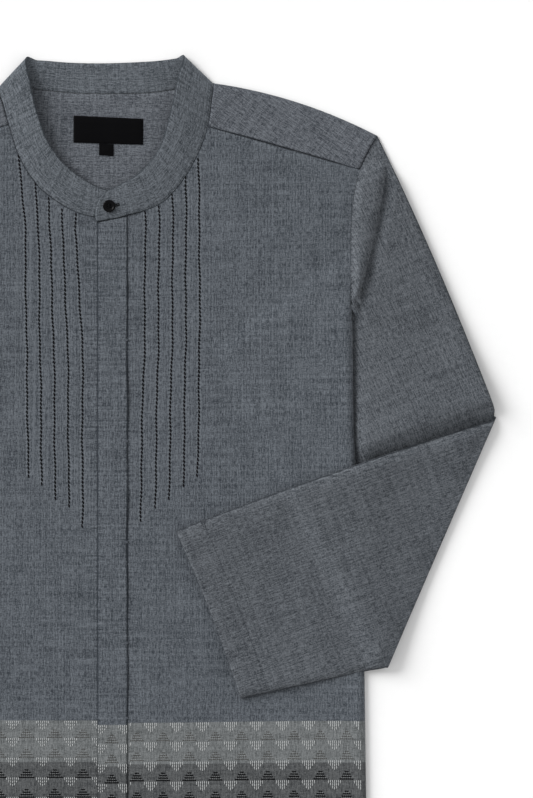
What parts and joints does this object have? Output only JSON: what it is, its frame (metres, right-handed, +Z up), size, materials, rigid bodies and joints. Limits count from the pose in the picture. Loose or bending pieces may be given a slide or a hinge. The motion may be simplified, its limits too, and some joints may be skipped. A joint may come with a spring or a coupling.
{
  "type": "koko shirt",
  "caption": "Long-sleeved shirt with a stand collar and covered placket, laid flat front up, one forearm turned back over the body.",
  "frame": {"origin": "underside of the back panel on the shirt's centre line, halfway down the body, on the surface the shirt lies on", "axes": "+X towards the wearer's left side, +Y towards the collar, +Z up from the surface, out of the front"},
  "size_m": [0.8179, 0.7541, 0.0077],
  "materials": {
    "chambray": "matte blue-grey woven cotton",
    "button": "polished black",
    "label": "black satin-woven tape"
  },
  "bodies": {
    "root": {"back": "chambray", "yoke": "chambray", "front_left": "chambray", "front_right": "chambray", "placket": "chambray", "collar": "chambray", "sleeve_left": "chambray", "sleeve_right": "chambray", "collar_button": "button", "neck_label": "label", "size_tab": "label"}
  },
  "joints": []
}
